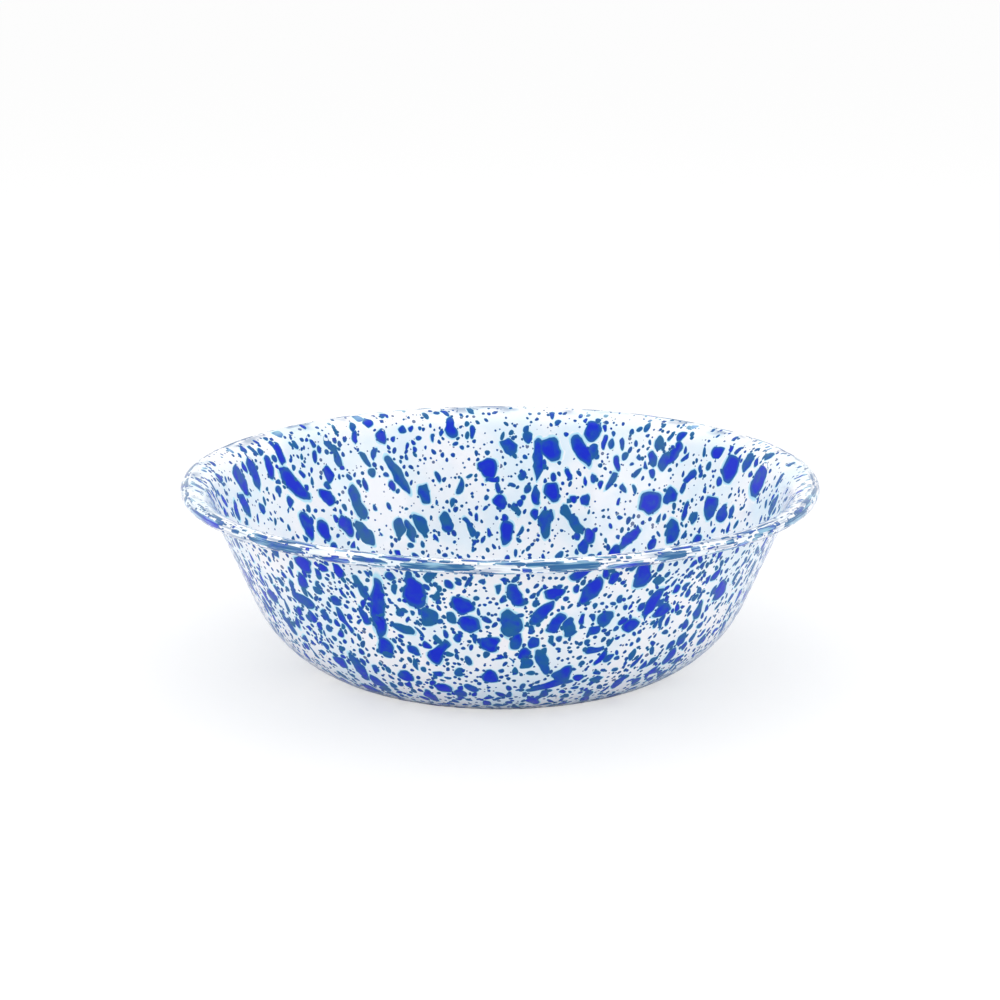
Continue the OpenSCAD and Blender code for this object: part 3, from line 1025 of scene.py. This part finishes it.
class BASIN_OT_splatter(bpy.types.Operator):
    """Scatter the blue drops over the inside, the outside and the rolled rim"""
    bl_idname = "basin.splatter"
    bl_label = "Splatter"

    def execute(self, context):
        shape = context.scene.basin_shape
        look = context.scene.basin_splatter
        section = Section(shape)
        inside = section.bottom(shape.sheet) + section.side(shape.sheet, shape.flare_slope)
        rim = section.rolled(shape.sheet, math.radians(RIM_TURN))
        outside = section.bottom(0.0) + section.side(0.0, math.radians(OUTSIDE_STOP))
        on_inside = mark_finder(inside, shape.foot_radius, FAR_MIDDLE, -1)
        on_outside = mark_finder(outside, shape.foot_radius, NEAR_MIDDLE, 1)
        on_rim = mark_finder(rim, shape.foot_radius, NEAR_MIDDLE, 1)

        # A negative bare width leaves no ring bare
        shared = {"Around": shape.around, "Gap": look.gap, "Thickness": look.thickness, "Bury": look.bury,
                  "Wobble": look.wobble, "Wobble size": look.wobble_size, "Ripple": look.ripple,
                  "Ripple size": look.ripple_size, "Across": 0.0, "Bare width": -1.0,
                  "Material": blue_enamel("blue_enamel", 0.0, 0.12)}
        inner = {"Amount": 0.35, "Large amount": 0.45, "Far amount": 0.9, "Seed": 3,
                 "Outermost": shape.rim_radius - shape.roll_radius}
        outer = {"Amount": 0.74, "Large amount": 1.0, "Far amount": 1.0, "Seed": 5,
                 "Outermost": shape.rim_radius - 2 * shape.roll_radius,
                 "Bare ring": shape.foot_radius - shape.land_width / 2, "Bare width": 0.25 * shape.land_width}
        along = {"Amount": 0.75, "Large amount": 0.75, "Far amount": 0.75, "Seed": 9,
                 "Outermost": 2 * shape.rim_radius, "Across": 1.0, "Wobble": look.wobble / 4,
                 "Ripple": look.ripple / 2, "Bury": 2.5 * look.bury,
                 "Material": blue_enamel("rim_blue_enamel", 0.7, 0.4)}

        face, edge = splatter_trees()
        faces = (
            ("inner_splatter", inside[::-1], on_inside, INNER_MARKS, inner),
            ("outer_splatter", outside, on_outside, OUTER_MARKS, outer),
        )
        jobs = [(node + "_" + kind, node, face, line, place, marks, layers, own)
                for node, line, place, marks, own in faces for kind, layers in FACE_PIECES.items()]
        jobs.append(("rim_splatter_streaks", "rim_splatter", edge, rim[::-1], on_rim, RIM_MARKS, RIM_PIECE,
                     along))
        for name, node, tree, line, place, marks, layers, own in jobs:
            placed = marks_object(name + "_marks", place, marks)
            wire = section_object(name, line)
            chosen = {"First layer": float(layers[0]), "Last layer": float(layers[1])}
            piece = grown(wire, tree, {"Placed": placed, **shared, **chosen, **own})
            bpy.data.objects.remove(placed)
            finish_piece(piece, node)
        return {"FINISHED"}


class BASIN_OT_hidden_layers(bpy.types.Operator):
    """Finish the steel pressing and the bonding coats, which the white enamel covers"""
    bl_idname = "basin.hidden_layers"
    bl_label = "Steel and bonding coats"

    def execute(self, context):
        steel = drawn_steel()
        ground = ground_enamel()
        finishes = {"steel_shell": steel, "inner_ground_coat": ground, "outer_ground_coat": ground}
        for node, material in finishes.items():
            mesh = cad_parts[node].data
            mesh.materials.clear()
            mesh.materials.append(material)
        return {"FINISHED"}


# Stage

WHITE = (1.0, 1.0, 1.0)

# Half the width of the floor, in metres, and how far it lies below the foot
FLOOR_HALF = 15.0
FLOOR_DROP = 0.02 * MM

# Lamps: place in metres and width
KEY_LAMP = ((0.0, 0.25, 1.3), 1.4)
LEFT_LAMP = ((-1.3, -0.5, 0.7), 0.9)
RIGHT_LAMP = ((1.3, -0.5, 0.7), 0.9)


def area_lamp(name, place_and_width, aim, watts):
    """A square lamp that faces the point aimed at."""
    place, width = place_and_width
    lamp = bpy.data.lights.new(name, "AREA")
    lamp.shape = "SQUARE"
    lamp.size = width
    lamp.energy = watts
    made = bpy.data.objects.new(name, lamp)
    made.location = place
    made.rotation_mode = "QUATERNION"
    made.rotation_quaternion = (Vector(aim) - Vector(place)).to_track_quat("-Z", "Y")
    bpy.context.scene.collection.objects.link(made)


def floor_material(colour):
    """A pale floor. The camera sees it nearly white, with the basin's shadow still on it."""
    material, net = material_net("floor")
    seen = net.add("ShaderNodeLightPath", {})["Is Camera Ray"]
    shown = net.blend(seen, colour, WHITE)
    lit = net.add("ShaderNodeBsdfPrincipled", {}, Base_Color=shown, Roughness=0.9, Specular_IOR_Level=0.0)
    bright = net.add("ShaderNodeEmission", {}, Color=(*WHITE, 1.0), Strength=1.0)
    mixed = net.add("ShaderNodeMixShader", {}, seen * 0.6, lit[0], bright[0])
    net.add("ShaderNodeOutputMaterial", {}, Surface=mixed[0])
    return material


def floor_object(colour):
    """A square floor under the basin's foot."""
    half = FLOOR_HALF
    corners = [(-half, -half, 0), (half, -half, 0), (half, half, 0), (-half, half, 0)]
    mesh = bpy.data.meshes.new("floor")
    mesh.from_pydata(corners, [], [(0, 1, 2, 3)])
    mesh.materials.append(floor_material(colour))
    made = bpy.data.objects.new("floor", mesh)
    made.location.z = -FLOOR_DROP
    bpy.context.scene.collection.objects.link(made)
    return made


def sky_world(strength):
    """Even light from all around, which the camera sees as white, also through glass."""
    world = bpy.data.worlds.new("studio")
    world.use_nodes = True
    world.node_tree.nodes.clear()
    net = Net(world.node_tree)
    rays = net.add("ShaderNodeLightPath", {})
    seen = rays["Is Camera Ray"].most(rays["Is Transmission Ray"])
    level = strength + seen * (1 - strength)
    back = net.add("ShaderNodeBackground", {}, Color=(*WHITE, 1.0), Strength=level)
    net.add("ShaderNodeOutputWorld", {}, Surface=back[0])
    return world


def camera_object(look, middle):
    """A camera in front of the basin, which looks down at its middle."""
    camera = bpy.data.cameras.new("camera")
    camera.lens = look.lens
    camera.sensor_width = 36.0
    made = bpy.data.objects.new("camera", camera)
    back = Vector((0.0, -math.cos(look.elevation), math.sin(look.elevation)))
    made.location = Vector(middle) + back * look.distance
    made.rotation_mode = "QUATERNION"
    made.rotation_quaternion = (-back).to_track_quat("-Z", "Y")
    bpy.context.scene.collection.objects.link(made)
    return made


class BASIN_OT_stage(bpy.types.Operator):
    """Set up the floor, the camera and plain soft light"""
    bl_idname = "basin.stage"
    bl_label = "Stage"

    def execute(self, context):
        scene = context.scene
        look = scene.basin_stage
        floor = floor_object(look.floor)
        scene.world = sky_world(look.sky)
        middle = (0.0, 0.0, look.aim_height)
        area_lamp("key", KEY_LAMP, middle, look.key)
        area_lamp("fill_left", LEFT_LAMP, middle, look.fill)
        area_lamp("fill_right", RIGHT_LAMP, middle, look.fill)
        scene.camera = camera_object(look, middle)
        scene.view_settings.view_transform = "Standard"
        return {"FINISHED"}


class BASIN_PT_panel(bpy.types.Panel):
    """The basin's pieces"""
    bl_idname = "BASIN_PT_panel"
    bl_label = "Enamel basin"
    bl_space_type = "VIEW_3D"
    bl_region_type = "UI"
    bl_category = "Basin"

    def draw(self, context):
        for operator in OPERATORS:
            self.layout.operator(operator.bl_idname)
        for group in GROUPS:
            look = getattr(context.scene, group)
            box = self.layout.box()
            box.label(text=look.bl_rna.name)
            for name in look.__annotations__:
                box.prop(look, name)


OPERATORS = (BASIN_OT_stage, BASIN_OT_white_coats, BASIN_OT_splatter, BASIN_OT_hidden_layers)
GROUPS = {"basin_shape": BasinShape, "basin_splatter": SplatterLook, "basin_enamel": EnamelLook,
          "basin_stage": StageLook}


def register():
    for group in (*GROUPS.values(), *OPERATORS, BASIN_PT_panel):
        bpy.utils.register_class(group)
    for name, group in GROUPS.items():
        setattr(bpy.types.Scene, name, bpy.props.PointerProperty(type=group))


def unregister():
    for name in GROUPS:
        delattr(bpy.types.Scene, name)
    for group in (BASIN_PT_panel, *OPERATORS, *GROUPS.values()):
        bpy.utils.unregister_class(group)


def main():
    register()
    bpy.ops.basin.stage()
    bpy.ops.basin.white_coats()
    bpy.ops.basin.splatter()
    bpy.ops.basin.hidden_layers()


if __name__ == "__main__":
    main()
